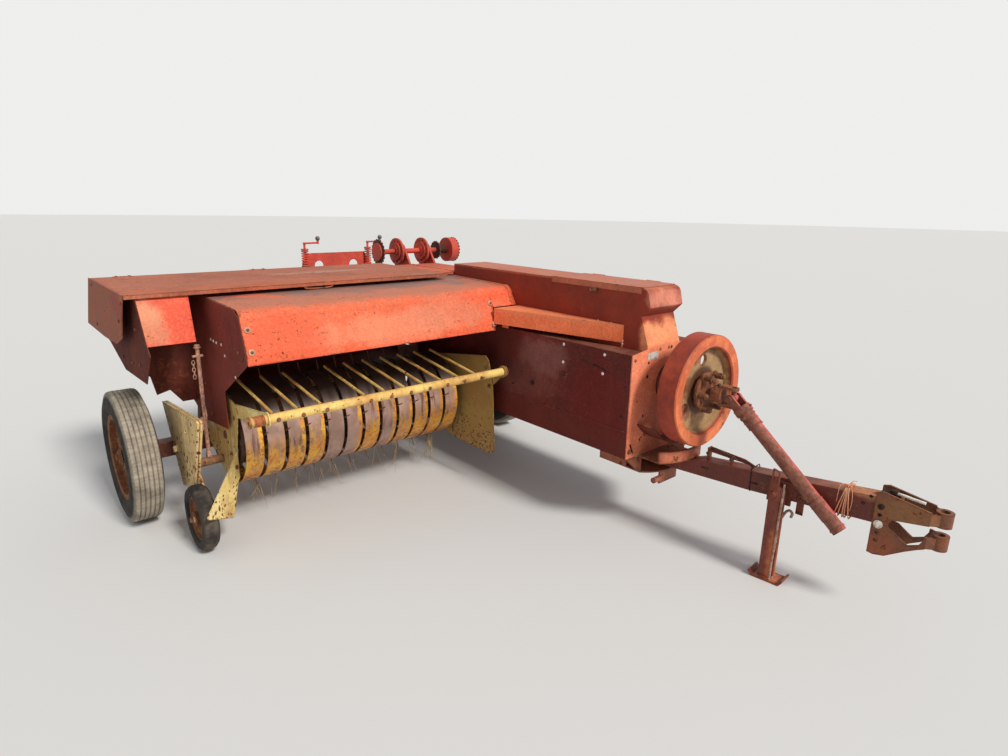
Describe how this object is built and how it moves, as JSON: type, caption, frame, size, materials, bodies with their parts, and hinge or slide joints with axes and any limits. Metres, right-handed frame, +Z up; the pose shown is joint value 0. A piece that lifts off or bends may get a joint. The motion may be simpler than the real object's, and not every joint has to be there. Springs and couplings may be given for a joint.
{
  "type": "square baler",
  "caption": "Tractor-drawn square baler with side pickup, hooded feeder, bale case, knotters, flywheel drive, swinging tongue and stand.",
  "frame": {"origin": "middle of the base of the whole machine, on the ground", "axes": "+X towards the machine's left, where the bale case and hitch are; -Y towards the hitch; +Z up"},
  "size_m": [2.529, 4.7989, 1.327],
  "materials": {
    "orange_paint": "faded satin",
    "dark_red_paint": "faded satin",
    "yellow_paint": "worn satin",
    "rusty_iron": "rough rust",
    "band_steel": "worn rust",
    "dark_steel": "dull",
    "tyre_rubber": "dusty",
    "rim_rust": "rust",
    "bright_steel": "worn",
    "faded_red": "chalky"
  },
  "bodies": {
    "frame": {"case_front": "dark_red_paint", "front_plate": "orange_paint", "plunger": "dark_steel", "gearbox": "rusty_iron", "bale_chamber": "orange_paint", "tension_rails": "orange_paint", "density_springs": "orange_paint", "knotter_frame": "orange_paint", "knotter_shaft": "orange_paint", "drawbar_frame": "orange_paint", "main_axle": "dark_red_paint", "feeder_housing": "dark_red_paint", "feeder_rail": "dark_steel", "front_hood": "orange_paint", "hood_side": "dark_red_paint", "end_housing": "dark_red_paint", "corner_box": "orange_paint", "side_ledge": "orange_paint", "twine_box": "dark_red_paint", "flywheel_guard": "dark_red_paint", "input_yoke": "rusty_iron"},
    "needles": {"needle_yoke": "rusty_iron"},
    "star_wheel": {"meter_wheel": "rusty_iron"},
    "twine_lid": {"twine_lid": "dark_red_paint"},
    "rear_cover": {"rear_cover": "dark_red_paint"},
    "flywheel": {"flywheel": "orange_paint", "slip_clutch": "rusty_iron"},
    "drive_shaft": {"drive_tube": "faded_red"},
    "right_wheel": {"tyre_right": "tyre_rubber", "rim_right": "rim_rust"},
    "left_wheel": {"tyre_left": "tyre_rubber", "rim_left": "rim_rust"},
    "pickup": {"stripper_bands": "band_steel", "pickup_shield_right": "yellow_paint", "pickup_shield_left": "yellow_paint", "gauge_arm": "yellow_paint", "lift_rod": "rusty_iron"},
    "reel": {"tine_reel": "dark_steel"},
    "windguard": {"windguard": "yellow_paint"},
    "gauge_wheel": {"gauge_tyre": "tyre_rubber", "gauge_rim": "rim_rust"},
    "tongue": {"tongue_beam": "dark_red_paint", "hitch_clevis": "rusty_iron", "jack_bracket": "rusty_iron"},
    "stand": {"jack_leg": "orange_paint"}
  },
  "joints": [
    {"name": "right_wheel_turn", "type": "hinge", "parent": "frame", "child": "right_wheel", "pos_m": [-1.1895, 0.54743, 0.33], "axis": [1, 0, 0], "continuous": true},
    {"name": "left_wheel_turn", "type": "hinge", "parent": "frame", "child": "left_wheel", "pos_m": [1.1895, 0.54743, 0.33], "axis": [1, 0, 0], "continuous": true},
    {"name": "flywheel_turn", "type": "hinge", "parent": "frame", "child": "flywheel", "pos_m": [0.7945, -1.37257, 0.76], "axis": [0, 1, 0], "continuous": true},
    {"name": "star_wheel_turn", "type": "hinge", "parent": "frame", "child": "star_wheel", "pos_m": [0.7945, 1.54743, 0.902], "axis": [1, 0, 0], "continuous": true},
    {"name": "needle_swing", "type": "hinge", "parent": "frame", "child": "needles", "pos_m": [0.7945, 0.92743, 0.56], "axis": [1, 0, 0], "range_deg": [0, 70]},
    {"name": "twine_lid_hinge", "type": "hinge", "parent": "frame", "child": "twine_lid", "pos_m": [0.8815, -0.85257, 1.213], "axis": [0, 1, 0], "range_deg": [0, 100]},
    {"name": "rear_cover_hinge", "type": "hinge", "parent": "frame", "child": "rear_cover", "pos_m": [-0.4055, 0.91343, 1.167], "axis": [-1, 0, 0], "range_deg": [0, 60]},
    {"name": "tongue_swing", "type": "hinge", "parent": "frame", "child": "tongue", "pos_m": [0.7945, -1.05257, 0.38], "axis": [0, 0, -1], "range_deg": [0, 14]},
    {"name": "drive_shaft_swing", "type": "hinge", "parent": "frame", "child": "drive_shaft", "pos_m": [0.7945, -1.54857, 0.76], "axis": [0, 0, -1], "range_deg": [0, 36]},
    {"name": "stand_swing", "type": "hinge", "parent": "tongue", "child": "stand", "pos_m": [0.77974, -1.80171, 0.405], "axis": [0.9962, 0.0872, 0], "range_deg": [0, 70]},
    {"name": "pickup_lift", "type": "hinge", "parent": "frame", "child": "pickup", "pos_m": [-0.2055, 0.48743, 0.6], "axis": [-1, 0, 0], "range_deg": [0, 10]},
    {"name": "reel_turn", "type": "hinge", "parent": "pickup", "child": "reel", "pos_m": [-0.2355, 0.14743, 0.475], "axis": [1, 0, 0], "continuous": true},
    {"name": "windguard_swing", "type": "hinge", "parent": "pickup", "child": "windguard", "pos_m": [-0.2355, -0.40657, 0.7], "axis": [1, 0, 0], "range_deg": [0, 12]},
    {"name": "gauge_wheel_turn", "type": "hinge", "parent": "pickup", "child": "gauge_wheel", "pos_m": [-1.0435, -0.00057, 0.157], "axis": [1, 0, 0], "continuous": true}
  ],
  "couplings": [
    {"joint": "drive_shaft_swing", "follows": "tongue_swing", "ratio": 2.5}
  ]
}
